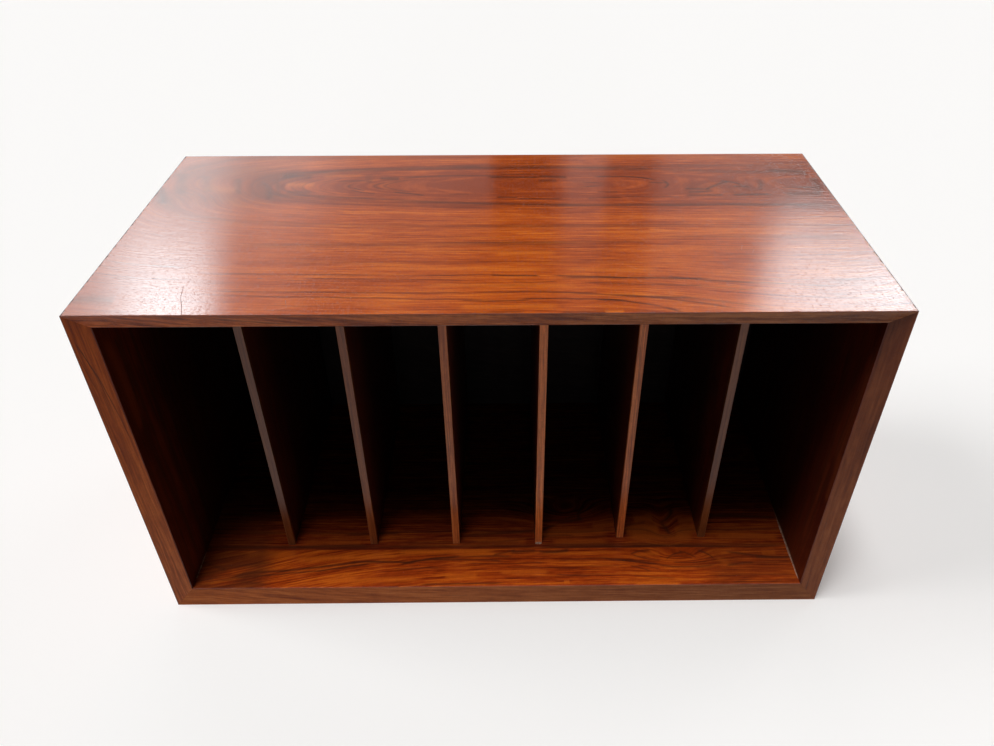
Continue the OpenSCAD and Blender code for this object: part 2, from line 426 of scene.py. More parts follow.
strokeParts = ("startAlong", "startAcross", "endAlong", "endAcross", "bow", "halfWidth", "ink")
lineParts = ("at", "sharp", "soft", "ink", "breaks")
eyeParts = ("alongCentre", "acrossCentre", "halfLength", "halfWidth", "lift")


def strokeMask(net, strokes, lay, seed, mask=0.0, patches=0.5):
    # streaks that run more across the leaf than along it are drawn with the two directions changed over
    turned = {"along": lay["across"], "across": lay["along"]}
    waver = net.group(streakWaver, **lay, seed=seed)
    turnedWaver = net.group(streakWaver, **turned, seed=seed + 40) * 2
    for stroke in strokes:
        startAlong, startAcross, endAlong, endAcross, *shape = stroke
        if abs(endAlong - startAlong) > abs(endAcross - startAcross):
            ways = {**lay, "waver": waver}
        else:
            ways = {**turned, "waver": turnedWaver}
            stroke = (startAcross, startAlong, endAcross, endAlong, *shape)
        mask = net.group(inkStroke, mask=mask, patches=patches, **ways, **dict(zip(strokeParts, stroke)))
    return mask


def inkMask(net, look, lay, ring):
    # every dark line and streak that the look lists, laid over each other
    patches = net.group(inkPatches, **lay, ring=ring, seed=look["seed"])
    mask = 0.0
    for line in look["lines"]:
        mask = net.group(inkLine, mask=mask, ring=ring, patches=patches, **dict(zip(lineParts, line)))
    return strokeMask(net, look.get("strokes", []), lay, look["seed"], mask, patches)


wornBrown = (0.3, 0.13, 0.06)
rimBlack = (0.05, 0.02, 0.015)
frontBlack = (0.1, 0.03, 0.02)
dustGrey = (0.62, 0.55, 0.48)
scuffAndGlintPink = (0.7, 0.55, 0.5)
crackBlack = (0.02, 0.008, 0.005)


def grimeOn(net, look, lay, depthPlace, colour):
    # the side and front arrises, left dark and dull where polish and dirt have built up, in nibbles
    along = lay["along"]
    nibbles = net.waves((along, 4), (lay["across"], 7), look["seed"])
    reach = net.between(nibbles, 0.35, 0.7, 0.7, 2.4)
    rim = net.between(look["rimHalf"] - net.maths("ABSOLUTE", along), reach, reach * 0.5)
    nicks = net.waves((along, 9), 0, look["seed"], detail=3, roughness=0.6)
    depth = net.between(nicks, 0.45, 0.75, 0.9, 2.6) + net.between(along, -200, -330, 0, 1.2)
    front = net.between(depthPlace - look["frontEdge"], depth, depth * 0.4)
    colour = net.mix(rim * surface["rimShows"], colour, rimBlack)
    return net.mix(front * surface["frontShows"], colour, frontBlack), net.most(rim, front)


def veneerMaterial(name, look):
    material, net, shader = newMaterial(name)
    place = millimetres(net)
    lay = {"along": place[look["alongAxis"]], "across": place[look["acrossAxis"]]}
    seed = look["seed"]
    ring = net.group(ringField, **lay, **look)
    for eye in look["eyes"]:
        ring = net.group(eyeBump, ring=ring, **lay, **dict(zip(eyeParts, eye)))
    mask = inkMask(net, look, lay, ring)
    # pale streaks: figure, and on the inner walls and the rear floor leaf also painted light
    pale = strokeMask(net, look["paleStrokes"], lay, seed) if "paleStrokes" in look else 0.0
    heart = net.between(ring, *look["heartReach"]) if "heartReach" in look else 0.0
    if "calmEnd" in look:
        calm = surface["calm"] * look["contrast"]
        look = {**look, "contrast": net.between(lay["along"], *look["calmEnd"], calm, look["contrast"])}
    wood = net.group(rosewoodLook, ring=ring, **lay, mask=mask, pale=pale, heart=heart, **look)
    colour = wood["Color"]
    # painted shade: darker towards the ends of the leaf, where the light falls off
    for start, full, amount in look.get("darkEnds", []):
        colour = net.mix(net.between(lay["along"], start, full, 0, amount), colour, inkBrown)
    worn = wornArris(net, place, boxLow, boxHigh, surface["arrisReach"])
    colour = net.mix(worn * look["wornMix"], colour, wornBrown)
    if "shaded" in look:
        # painted shade: darker deeper inside the box, where little light reaches: from a depth, to a depth,
        # what is left there
        near, far, left = look["shaded"]
        colour = net.dim(colour, net.between(place["y"], near, far, 1, left))
    dull = net.group(scratches, **lay) * surface["scratchDull"]
    if "rimHalf" in look:
        colour, grime = grimeOn(net, look, lay, place["y"], colour)
        dull = dull + grime * surface["grimeDull"]
    specks = net.group(dustSpecks, **place, amount=surface["dust"])
    colour = net.mix(specks * surface["dustShows"], colour, dustGrey)
    # pale scuffs, partly painted glints in the windows' reflections
    if "scuffs" in look:
        colour = net.mix(strokeMask(net, look["scuffs"], lay, seed), colour, scuffAndGlintPink)
    if "cracks" in look:
        cracks = strokeMask(net, look["cracks"], lay, seed)
        colour = net.mix(cracks, colour, crackBlack)
        dull = dull + cracks * surface["crackDull"]
    lacquerOver(net, shader, look["coat"], colour, wood, dull)
    return material


# one entry for each veneered face. pith and all places are in the box's own millimetres; the numbers of a
# stroke, a line and an eye are in the order of strokeParts, lineParts and eyeParts; the heart shows from one
# ring down to another
plainVeneer = {
    "alongAxis": "x", "acrossAxis": "y", "pith": 60, "far": 60, "rise": 18, "riseStart": -200,
    "riseLength": 160, "wander": 7, "seed": 1, "eyes": [], "lines": [], "bandWidth": 11, "pencil": 0.7,
    "contrast": 1, "wornMix": 0.35, "coat": polished,
}
outerSide = {
    "alongAxis": "z", "deep": (0.16, 0.026, 0.006), "base": (0.28, 0.052, 0.009),
    "light": (0.4, 0.098, 0.016),
}
innerSide = {"alongAxis": "z", "pith": 120, "pencil": 0.9, "coat": dusty}
# painted shade: darker copies of the rosewood colours for the faces inside the box, for the little light that
# gets in
innerPaintedShadeColours = {
    "deep": (0.07, 0.01, 0.005), "base": (0.16, 0.024, 0.008), "light": (0.3, 0.06, 0.016), "wornMix": 0.1,
}
# painted shade: a still darker set, for the right inner wall and the dividers
deepPaintedShadeColours = {
    "deep": (0.05, 0.006, 0.004), "base": (0.1, 0.014, 0.006), "light": (0.19, 0.036, 0.012), "wornMix": 0,
}
topOuterStrokes = [
    # the long eye's upper and lower sides
    (-232, 112, -20, 126, 5, 3.4, 0.5), (-60, 128, 190, 120, 3, 4.6, 0.66),
    (170, 122, 352, 116, -5, 3.4, 0.4), (-236, 64, -80, 46, 0, 2.6, 0.5), (-110, 48, 100, 34, -2, 3, 0.66),
    (40, 34, 352, 33, 0, 2.4, 0.62),
    # smudges at its left tip
    (-246, 94, -231, 48, 4, 3.4, 0.42), (-230, 94, -222, 62, 0, 3, 0.36), (-230, 106, -194, 106, 0, 6, 0.55),
    (-217, 68, -188, 66, 0, 4.5, 0.42), (-276, 104, -262, 60, 0, 4.5, 0.38),
    (-312, 112, -296, 66, 0, 6, 0.3), (-340, 120, -322, 60, 0, 7, 0.36), (-352, 84, -334, 40, 0, 6, 0.5),
    (-136, 112, -131, 88, 0, 4, 0.3),
    # the darker, greyer wood round that tip
    (-352, 118, -200, 118, 0, 26, 0.3), (-352, 56, -210, 56, 0, 22, 0.3), (-352, 157, 352, 157, 0, 6, 0.25),
    # streaks inside it
    (-168, 93, -128, 94, 1, 1.3, 0.66), (-124, 100, -100, 99, 0, 4.2, 0.62),
    (-106, 101, 20, 103, 4, 1.6, 0.6), (-10, 102, 52, 101, 0, 2.1, 0.85), (4, 110, 50, 109, 0, 1.3, 0.62),
    (46, 104, 80, 101, 0, 3.4, 0.72), (46, 93, 68, 93, 0, 4, 0.5), (104, 101, 176, 92, 6, 1.5, 0.85),
    (163, 88, 184, 86, 0, 1.4, 0.66), (178, 94, 176, 72, 6, 1.8, 0.66), (-148, 77, -134, 71, 0, 0.9, 0.85),
    (-150, 72, -136, 66, 0, 0.8, 0.78), (-140, 68, -122, 62, 0, 0.9, 0.7), (-106, 66, -70, 58, 1, 1.2, 0.8),
    (-48, 61, -24, 61, 0, 1.1, 0.45), (2, 53, 26, 52, 0, 1.4, 0.85), (22, 50, 72, 49, 0, 1.4, 0.88),
    (94, 49, 134, 51, 1, 1.8, 0.8), (106, 64, 130, 65, 0, 1.3, 0.66), (130, 54, 196, 51, 0, 1.4, 0.42),
    # the knot under the leaf at the right
    (190, 74, 280, 72, 0, 15, 0.24), (198, 71, 228, 70, 0, 1.8, 0.66), (200, 63, 230, 66, 0, 1.8, 0.66),
    (196, 56, 240, 57, 0, 2.4, 0.6), (220, 68, 250, 88, 3, 2.8, 0.72), (240, 90, 262, 80, 2, 2.2, 0.66),
    (250, 77, 270, 75, 0, 2, 0.6), (244, 57, 288, 57, 0, 2, 0.75), (276, 66, 284, 96, 2, 3.4, 0.62),
    (300, 74, 340, 73, 0, 2, 0.8), (306, 68, 338, 67, 0, 1.6, 0.75), (300, 58, 342, 58, 0, 5, 0.6),
    (340, 100, 338, 58, 3, 5, 0.6), (296, 120, 342, 108, 0, 7, 0.55),
    # the front half: a broad band, then long thin lines that bend down to the front edge on the right
    (-250, -46, 130, -46, 0, 4.6, 0.34), (-60, -44, 160, -42, 0, 2, 0.42), (150, -33, 350, -34, 0, 3, 0.3),
    (-40, -10, 200, -9, 0, 2.4, 0.3), (-220, -78, 160, -80, 0, 3.2, 0.22),
    (-60, -58, 120, -60, 0, 1.4, 0.26), (-262, -96, 20, -102, -1, 1.1, 0.66),
    (-4, -102, 44, -103, 0, 1.3, 0.9), (50, -103, 124, -107, 0, 1, 0.8), (54, -107, 196, -110, 1, 1.7, 0.78),
    (150, -105, 232, -117, -2, 1.4, 0.6), (180, -112, 300, -124, 0, 1.4, 0.34),
    (-168, -106, -10, -111, 1, 0.9, 0.6), (16, -112, 58, -112, -2, 0.9, 0.72),
    (72, -113, 190, -120, -2, 1, 0.62), (-246, -125, 0, -131, -1, 1.5, 0.56),
    (-20, -131, 96, -133, 3, 1.4, 0.66), (60, -130, 180, -140, -2, 1.3, 0.56),
    (-244, -132, 10, -142, 0, 0.9, 0.66), (-30, -142, 36, -141, -2, 1.1, 0.72),
    (20, -140, 118, -144, 2, 1.1, 0.84), (84, -142, 160, -163, 5, 1.6, 0.84),
    (96, -134, 204, -158, 4, 1.6, 0.62), (128, -136, 236, -158, 3, 1.4, 0.4),
    (296, -118, 345, -119, 0, 0.8, 0.35), (310, -128, 352, -129, 0, 0.7, 0.3),
    (286, -140, 330, -141, 0, 0.8, 0.3), (300, -150, 352, -151, 0, 0.7, 0.3),
    (300, -40, 352, -40, 0, 0.8, 0.3), (280, 8, 352, 6, 0, 0.9, 0.35), (-30, -161, 30, -160, 0, 1.3, 0.6),
    (56, -161, 98, -161, 0, 1.5, 0.6), (-352, -138, -312, -140, 2, 7, 0.45),
]
topOuterPale = [
    (-222, 86, -188, 85, 0, 5.5, 0.55), (-306, 78, -266, 72, 0, 8, 0.55), (-186, 108, -140, 108, 0, 4, 0.3),
    (-160, 24, -60, 18, 0, 1.6, 0.8), (-150, 20, -110, 17, 0, 1.2, 0.8), (-172, -103, -140, -104, 0, 1, 0.9),
    (-158, -26, -112, -26, 0, 1.2, 0.8), (20, -26, 60, -25, 0, 1, 0.8), (148, -18, 174, -21, 0, 1.6, 0.8),
    (-120, -88, 60, -92, 0, 3, 0.6), (0, -64, 60, -62, 0, 4, 0.5), (60, -92, 150, -94, 0, 4, 0.6),
    (-60, -117, 80, -120, 0, 3, 0.6), (-30, -152, 60, -152, 0, 3.5, 0.6), (92, -160, 110, -160, 0, 2.2, 0.9),
]
# pale scuffs in the lacquer, laid only where the windows' reflections fall: partly painted glints
topOuterScuffsAndGlints = [
    (-342, -58, -262, -61, 0, 0.3, 0.22), (-330, 14, -268, 11, 0, 0.3, 0.22),
    (-346, -84, -280, -86, 0, 0.3, 0.16), (-318, -20, -276, -22, 0, 0.3, 0.14),
    (-334, -108, -290, -107, 0, 0.3, 0.16), (-300, -146, -236, -148, 0, 0.3, 0.2),
    (262, -118, 330, -116, 0, 0.3, 0.14), (286, -98, 342, -96, 0, 0.3, 0.14),
    (250, -84, 310, -86, 0, 0.3, 0.1), (228, -60, 231, -50, 0, 0.4, 0.16),
    (238, -66, 241, -58, 0, 0.4, 0.14),
]
topOuterCracks = [
    (-264, -116, -261, -136, 0, 0.18, 0.8), (-262, -132, -250, -164, 0, 0.22, 0.9),
    (-171, -139, -168, -153, 0, 0.2, 0.6), (-204, -105, -198, -106, 0, 0.7, 0.6),
    (-295, -104, -290, -106, 0, 0.5, 0.35),
]
leftInnerStrokes = [
    (340, -128, 250, -130, 3, 2.5, 0.9), (252, -130, 150, -127, -4, 3, 0.9),
    (160, -128, 30, -122, 3, 3, 0.8),
]
# pale figure near the front edge, partly painted light where light comes in at the opening
leftInnerPaleAndPaintedLight = [
    (345, -142, 230, -138, 3, 7, 0.9), (200, -144, 120, -142, 0, 5, 0.5), (230, -112, 120, -108, 0, 4, 0.5),
]
rightInnerStrokes = [
    (345, -152, 190, -138, 2, 1.6, 0.9), (300, -148, 110, -134, -3, 1.4, 0.85),
    (210, -142, 40, -136, 2, 1.3, 0.8), (330, -138, 220, -128, 2, 2.2, 0.8),
    (220, -128, 90, -124, -2, 2, 0.8),
]
# painted light: pale streaks on the upper wall, standing for light that the top board keeps off it
rightInnerPaintedLight = [
    (210, -151, 140, -149, 0, 4, 0.9), (330, -146, 250, -143, 0, 3, 0.7), (190, -134, 60, -130, 0, 2.5, 0.7),
    (330, -150, 180, -147, 2, 5, 0.8), (280, -130, 150, -126, 0, 5, 0.8), (250, -112, 120, -110, 0, 5, 0.6),
]
floorFrontStrokesAndPaintedShade = [
    # painted shade: broad dark clouds over both ends of the leaf, where the side walls shade the floor
    (-460, -132, -240, -132, 0, 70, 0.78), (215, -132, 480, -132, 0, 70, 0.46),
    (-345, -148, -226, -130, 3, 1.8, 0.75), (-250, -133, -150, -120, 0, 1.7, 0.85),
    (-170, -121, -90, -122, 2, 1.6, 0.9), (-296, -141, -190, -131, 0, 1.2, 0.75),
    (-206, -133, -140, -122, 0, 1.3, 0.85), (-112, -124, -40, -114, 2, 1.6, 0.9),
    (-100, -120, -60, -115, 0, 1, 0.8), (-80, -119, 10, -120, 2, 1.2, 0.8),
    (-52, -114, 20, -114, 1, 1.4, 0.66), (-40, -124, 60, -122, 0, 1, 0.5),
    (-6, -112, 22, -104, 0, 1.6, 0.66), (14, -107, 46, -106, 0, 2, 0.8), (44, -107, 84, -105, -2, 2.4, 0.85),
    (-340, -116, -300, -130, 0, 3, 0.6), (-306, -125, -250, -120, 0, 1.4, 0.4),
    (-310, -142, -250, -150, 0, 1.6, 0.45), (-120, -130, -60, -129, 0, 1.2, 0.5),
    (-90, -152, 12, -150, 0, 1.4, 0.75), (10, -129, 96, -131, 0, 1.2, 0.45),
    (66, -120, 122, -116, 0, 1.2, 0.5), (100, -128, 140, -128, 0, 1, 0.45),
    # the eye that the joint cuts
    (112, -116, 186, -127, 0, 1.5, 0.85), (130, -118, 170, -122, 0, 1, 0.66),
    (150, -112, 176, -106, 2, 1.2, 0.75), (152, -112, 186, -121, -2, 1.2, 0.66),
    (176, -127, 248, -127, -3, 1.4, 0.72), (190, -121, 212, -110, 3, 1.3, 0.75),
    (206, -108, 226, -118, 2, 1.3, 0.66), (228, -107, 246, -120, 3, 1.5, 0.75),
    (196, -123, 240, -122, -2, 1, 0.6), (198, -116, 222, -119, 2, 1, 0.6),
    (148, -128, 172, -136, 0, 0.8, 0.75), (156, -127, 182, -133, 0, 0.8, 0.6),
    (258, -109, 316, -119, 0, 1.6, 0.8), (290, -118, 336, -118, 0, 1.8, 0.85),
    (256, -129, 290, -125, 0, 1.8, 0.8), (280, -126, 336, -124, 0, 1, 0.5),
    (220, -132, 262, -130, 0, 1, 0.5), (256, -152, 318, -150, 0, 1.3, 0.6),
    (150, -142, 200, -146, 0, 1.2, 0.5), (64, -140, 104, -142, 0, 1.2, 0.55),
    (240, -143, 330, -141, 0, 1.2, 0.35),
]
floorFrontPale = [
    (-290, -108, -226, -108, 0, 5, 0.6), (-230, -117, -160, -112, 0, 4, 0.7),
    (-200, -146, -80, -144, 0, 3, 0.7), (-120, -106, 0, -106, 0, 3.5, 0.9),
    (-180, -114, -110, -112, 0, 2, 0.8), (0, -136, 60, -136, 0, 3, 0.6), (-60, -141, -20, -141, 0, 3, 0.6),
    (154, -115, 186, -112, 2, 3, 0.6), (148, -153, 204, -153, 0, 1.8, 1), (250, -116, 262, -132, 0, 5, 0.5),
    (300, -111, 318, -111, 0, 4, 0.6), (73, -150, 80, -150, 0, 2.5, 0.9),
]
floorRearStrokesAndPaintedShade = [
    # painted shade: a broad dark cloud over the left end, where the left wall shades the floor
    (-430, 0, -250, 0, 0, 220, 0.62),
    # the dark band along the joint
    (-335, -98, -130, -97, 0, 2.2, 0.85), (-150, -99, 60, -100, 0, 1.6, 0.66),
    (40, -101, 210, -101, 1, 2.8, 0.92), (190, -100, 336, -103, -1, 2.8, 0.95),
    (-120, -92, 40, -90, -2, 1.6, 0.5), (-180, -80, -110, -78, 0, 2, 0.66),
    # the swirl in the fifth bay and the hook in the sixth; the last streak, a dark band in the seventh bay,
    # is painted shadow: the edge of the top's shadow on the floor
    (-46, -84, 60, -74, 0, 2.6, 0.75), (50, -76, 104, -58, 3, 2.4, 0.8), (98, -62, 106, -36, -5, 2.4, 0.8),
    (56, -60, 96, -52, -3, 1.8, 0.66), (44, -88, 90, -84, 2, 1.6, 0.5), (208, -42, 194, -66, 4, 3.2, 0.85),
    (194, -62, 200, -84, 0, 2.6, 0.85), (150, -70, 176, -64, 0, 2.2, 0.5), (242, -54, 336, -58, 0, 3.6, 0.9),
]
# pale figure, partly painted light: the right bays drawn lighter deeper in, where the light from the left
# reaches further
floorRearPaleAndPaintedLight = [
    (150, -86, 230, -88, 0, 6, 0.8), (-230, -92, -150, -92, 0, 4, 0.5), (60, -94, 130, -94, 0, 4, 0.6),
    (148, -76, 192, -74, 0, 8, 0.95), (206, -82, 236, -74, 0, 8, 0.95), (40, -82, 132, -78, 0, 6, 0.7),
    (-30, -90, 36, -92, 0, 4, 0.6), (250, -86, 330, -88, 0, 5, 0.7), (160, -60, 186, -56, 0, 7, 0.8),
    (212, -62, 240, -58, 0, 6, 0.7), (110, -70, 140, -66, 0, 6, 0.5),
]
veneerLooks = {
    "top_outer_veneer": {
        "pith": 82.5, "far": 40, "rise": 22, "riseStart": -242, "riseLength": 110, "wander": 3.5, "seed": 4,
        "rimHalf": 350, "frontEdge": -162.5, "calmEnd": (-290, -130), "heartReach": (84, 56),
        "darkEnds": [(-190, -310, 0.18), (210, 320, 0.16)], "bandWidth": 13, "pencil": 0.6,
        "eyes": [(240, 80, 80, 20, 8.2), (290, -148, 130, 62, -26), (-300, 60, 40, 26, 9)],
        "lines": [(62, 1.6, 5, 0.22, 0.5), (101, 2.2, 5, 0.22, 0.4)],
        "strokes": topOuterStrokes, "paleStrokes": topOuterPale,
        "scuffs": topOuterScuffsAndGlints, "cracks": topOuterCracks,
    },
    "bottom_outer_veneer": {"pith": -40, "seed": 11},
    "left_outer_veneer": {
        **outerSide, "pith": 40, "far": 34, "rise": 30, "riseStart": 120, "riseLength": 150, "seed": 15,
        "lines": [(62, 1.2, 4, 0.7, 0.4), (78, 0.8, 2, 0.4, 0.5), (140, 1, 3, 0.5, 0.4)],
    },
    "right_outer_veneer": {
        **outerSide, "pith": -30, "far": 30, "rise": 36, "riseStart": 150, "riseLength": 170, "seed": 19,
        "lines": [(58, 1.2, 4, 0.7, 0.4), (90, 0.8, 2, 0.4, 0.5), (150, 1, 3, 0.5, 0.4)],
    },
    "top_inner_veneer": {**innerPaintedShadeColours, "pith": 30, "seed": 23, "shaded": (-130, -60, 0.35)},
    "left_inner_veneer": {
        **innerPaintedShadeColours, **innerSide, "seed": 27, "shaded": (-125, -60, 0.3),
        "strokes": leftInnerStrokes, "paleStrokes": leftInnerPaleAndPaintedLight,
        "lines": [(225, 1.5, 4, 0.8, 0.4), (246, 1.2, 3, 0.7, 0.5), (180, 2, 6, 0.6, 0.4)],
    },
    "right_inner_veneer": {
        **deepPaintedShadeColours, **innerSide, "seed": 31, "shaded": (-125, -60, 0.4),
        "strokes": rightInnerStrokes, "paleStrokes": rightInnerPaintedLight,
        "lines": [(238, 1.5, 4, 0.8, 0.4), (252, 1.2, 3, 0.7, 0.5), (205, 2, 6, 0.6, 0.4)],
    },
    "floor_front_leaf": {
        "deep": (0.17, 0.018, 0.004), "base": (0.39, 0.05, 0.006), "light": (0.62, 0.122, 0.01),
        "contrast": 1.25, "pith": -260, "far": 30, "rise": 0, "wander": 3, "seed": 35, "bandWidth": 8,
        "pencil": 0.5,
        "eyes": [(-392, -142, 200, 90, 60), (206, -116, 40, 12, 14)],
        "strokes": floorFrontStrokesAndPaintedShade, "paleStrokes": floorFrontPale,
    },
    "floor_rear_leaf": {
        "deep": (0.1, 0.01, 0.004), "base": (0.26, 0.032, 0.006), "light": (0.46, 0.088, 0.01),
        "contrast": 1.2, "pith": -300, "far": 30, "rise": 0, "wander": 6, "seed": 39, "bandWidth": 10,
        "pencil": 0.6,
        "shaded": (-74, 10, 0.35), "eyes": [(80, -48, 42, 20, 26), (195, -66, 14, 26, 16)],
        "lines": [(225, 1, 3, 0.5, 0.5), (205, 1, 2, 0.5, 0.5)],
        "strokes": floorRearStrokesAndPaintedShade, "paleStrokes": floorRearPaleAndPaintedLight,
    },
}
for name, look in veneerLooks.items():
    dress(veneerMaterial(name + "_rosewood", {**plainVeneer, **look}), name)

dividerCount = 6
for count in range(dividerCount):
    name = f"divider_{count + 1}_panel"
    look = {
        **plainVeneer, **deepPaintedShadeColours, "alongAxis": "z", "pith": 35 - 16 * count, "far": 46 + 5 * count,
        "seed": 50 + 3 * count, "shaded": (-95, 0, 0.35), "coat": dusty,
        "lines": [(80 + 9 * count, 1.2, 4, 0.6, 0.5), (120 - 4 * count, 0.9, 2, 0.5, 0.5)],
    }
    dress(veneerMaterial(name + "_rosewood", look), name)
print("veneers dressed")


stripColours = {
    "ink": (0.035, 0.014, 0.008), "deep": (0.15, 0.03, 0.008), "base": (0.31, 0.08, 0.02),
    "light": (0.46, 0.145, 0.042),
}


def stripMaterial(name, look):
    # solid rosewood: straight rings that run along the strip, turned a little to each of its faces
    material, net, shader = newMaterial(name)
    place = millimetres(net)
    along = place[look["alongAxis"]]
    lay = {"along": along, "across": place[look["acrossAxis"]] + place["y"] * look["turn"]}
    ring = net.group(ringField, **lay, **look)
    mask = inkMask(net, look, lay, ring)
    colours = {key: tuple(part * look["tone"] for part in colour) for key, colour in stripColours.items()}
    wood = net.group(rosewoodLook, ring=ring, **lay, mask=mask, **look, **colours)
    low, high = look["box"]
    colour = wood["Color"]
    if "ends" in look:
        # no strip has one colour from end to end
        axis = "xyz".index(look["alongAxis"])
        share = net.between(along, low[axis], high[axis])
        colour = net.mix(1.0, colour, net.mix(share, *look["ends"]), blend="MULTIPLY")
    worn = wornArris(net, place, low, high, look["wear"])
    colour = net.mix(worn * look["wornMix"], colour, look["wornColour"])
    lacquerOver(net, shader, look["coat"], colour, wood, worn * look["wornDull"])
    return material


# turn is how far the rings lean from face to face, tone how light the strip is drawn, which on the lippings
# also holds painted light and shade; ends are the tints of its low and high end
plainStrip = {
    "rise": 8, "riseLength": 260, "lines": [], "pencil": 0.5, "turn": 0.8, "wornDull": 0.6,
}
lyingStrip = {"alongAxis": "x", "acrossAxis": "z"}
standingStrip = {"alongAxis": "z", "acrossAxis": "x"}
plainLipping = {
    **plainStrip, "far": 60, "wander": 2.5, "bandWidth": 5, "wear": 0.8, "coat": rubbed,
    "box": (boxLow, boxHigh), "wornMix": 0.6, "wornColour": (0.06, 0.03, 0.02),
}
lippingLooks = {
    # painted light and shade in the tones: the top and left lippings, which face away from the lamps, are
    # drawn lighter, the bottom and right ones darker
    "top_lipping": {
        **lyingStrip, "pith": 300, "seed": 70, "tone": 1.68, "contrast": 1.6,
        "ends": ((1.25, 1, 0.8), (0.75, 0.85, 0.9)),
    },
    "bottom_lipping": {
        **lyingStrip, "pith": -60, "seed": 74, "tone": 0.78, "contrast": 0.8,
        "ends": ((1.35, 1.3, 1.2), (0.75, 0.85, 1.1)),
    },
    "left_lipping": {
        **standingStrip, "pith": -400, "seed": 78, "tone": 1.55, "contrast": 0.9,
        "strokes": [
            (357, -477, 232, -459, 3, 0.5, 0.85), (352, -480, 296, -474, 1, 0.35, 0.6),
            (346, -474, 262, -466, 2, 0.35, 0.5), (330, -480, 240, -477, 1, 0.4, 0.5),
        ],
        "ends": ((1.25, 1.15, 1.1), (0.95, 0.66, 0.3)),
    },
    "right_lipping": {
        **standingStrip, "pith": 400, "seed": 82, "tone": 0.66, "contrast": 0.8,
        "ends": ((1.3, 1.3, 1.5), (0.8, 0.72, 0.9)),
    },
}
for name, look in lippingLooks.items():
    dress(stripMaterial(name + "_solid", {**plainLipping, **look}), name)

plainEdge = {
    **plainStrip, **standingStrip, "far": 50, "wander": 2, "bandWidth": 4, "wear": 0.5, "contrast": 0.9,
    "coat": handled, "wornMix": 0.3, "wornColour": (0.34, 0.2, 0.13),
}
edgeTones = [0.5, 0.78, 1.7, 2.3, 2.1, 0.56]    # from left to right
for count in range(dividerCount):
    name = f"divider_{count + 1}_edge"
    low, high = inMillimetres(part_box(name))
    own = {"pith": 90 + low[0], "tone": edgeTones[count], "seed": 90 + 3 * count, "box": (low, high)}
    dress(stripMaterial(name + "_solid", {**plainEdge, **own}), name)
print("lippings and divider edges dressed")


coreLook = {
    "strip": 24,    # millimetres across
    "wood": [(0.3, (0.1, 0.045, 0.022)), (0.55, (0.19, 0.095, 0.045)), (0.8, (0.27, 0.15, 0.075))],
    "glue": (0.03, 0.015, 0.008), "glueShows": 0.6,
}


def plainMaterial(name, build):
    # build gets the net and the place in millimetres, and names what goes to each of the shader's sockets
    material, net, shader = newMaterial(name)
    for socket, value in build(net, **millimetres(net)).items():
        net.feed(shader.inputs[socket], value)
    return material


def coreWood(net, x, y, z):
    # glued-up softwood strips, stained brown; shows on the rear edges and in the rebate
    strips = (x + z) / coreLook["strip"]
    rings = net.waves((x, 3), (z, 3), net.maths("FLOOR", strips), detail=3)
    tone = rings * 0.7 + net.waves((x, 0.6), (z, 0.6), (y, 40)) * 0.4
    joint = net.between(net.maths("PINGPONG", strips, 0.5), 0.02, 0)
    colour = net.mix(joint * coreLook["glueShows"], net.ramp(tone, coreLook["wood"]), coreLook["glue"])
    return {"Base Color": colour, "Roughness": net.between(tone, 0.2, 0.9, 0.7, 0.5)}


tongueLook = {"wood": [(0.3, (0.5, 0.33, 0.19)), (0.7, (0.7, 0.53, 0.35))]}


def tongueWood(net, x, y, z):
    fibres = net.waves((x, 0.7), (z, 0.7), (y, 30), detail=3)
    return {
        "Base Color": net.ramp(fibres, tongueLook["wood"]),
        "Roughness": net.between(fibres, 0.3, 0.7, 0.65, 0.5),
    }


backLook = {
    "pith": 150, "far": 70, "rise": 30, "riseStart": -100, "riseLength": 200, "wander": 9, "seed": 110,
    # painted shade: the inner face's colours, near black
    "inside": {
        "ink": (0.002, 0.002, 0.002), "deep": (0.004, 0.003, 0.003), "base": (0.006, 0.004, 0.004),
        "light": (0.01, 0.007, 0.006), "pencil": 0.3, "bandWidth": 14, "seed": 112,
    },
    "outside": {
        "ink": (0.02, 0.011, 0.008), "deep": (0.05, 0.026, 0.018), "base": (0.1, 0.052, 0.034),
        "light": (0.16, 0.09, 0.058), "pencil": 0.4, "bandWidth": 14, "seed": 118,
    },
    "coat": {"specular": 0.12, "poreRough": 0.1, "poreDepth": 0.0001},
}


def backMaterial():
    # plywood under a thin satin lacquer, stained brown behind; its inner face is drawn near black, which is
    # painted shade for the dark deep in the box
    material, net, shader = newMaterial("back_plywood")
    place = millimetres(net)
    lay = {"along": place["x"], "across": place["z"]}
    ring = net.group(ringField, **lay, **backLook)
    wood = net.group(rosewoodLook, ring=ring, **lay, **backLook["inside"])
    rear = net.group(rosewoodLook, ring=ring, **lay, **backLook["outside"])
    low, high = inMillimetres(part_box("back_panel"))
    middle = (low[1] + high[1]) / 2
    behind = net.between(place["y"], middle - 0.2, middle + 0.2)
    colour = net.mix(behind, wood["Color"], rear["Color"])
    rubbings = net.waves((place["x"], 22), (place["z"], 400), 116, detail=1)
    coat = {**backLook["coat"], "roughness": net.between(rubbings, 0.35, 0.65, 0.5, 0.3)}
    lacquerOver(net, shader, coat, colour, wood, 0.0)
    return material


screwLook = {"zinc": [(0.3, (0.42, 0.38, 0.3)), (0.6, (0.6, 0.58, 0.54)), (0.8, (0.66, 0.65, 0.62))]}


def screwZinc(net, x, y, z):
    spots = net.waves((x, 1.2), (y, 1.2), (z, 1.2), detail=3)
    return {
        "Base Color": net.ramp(spots, screwLook["zinc"]),
        "Metallic": net.between(spots, 0.25, 0.4, 0.6, 1),
        "Roughness": net.between(spots, 0.3, 0.7, 0.5, 0.32),
    }


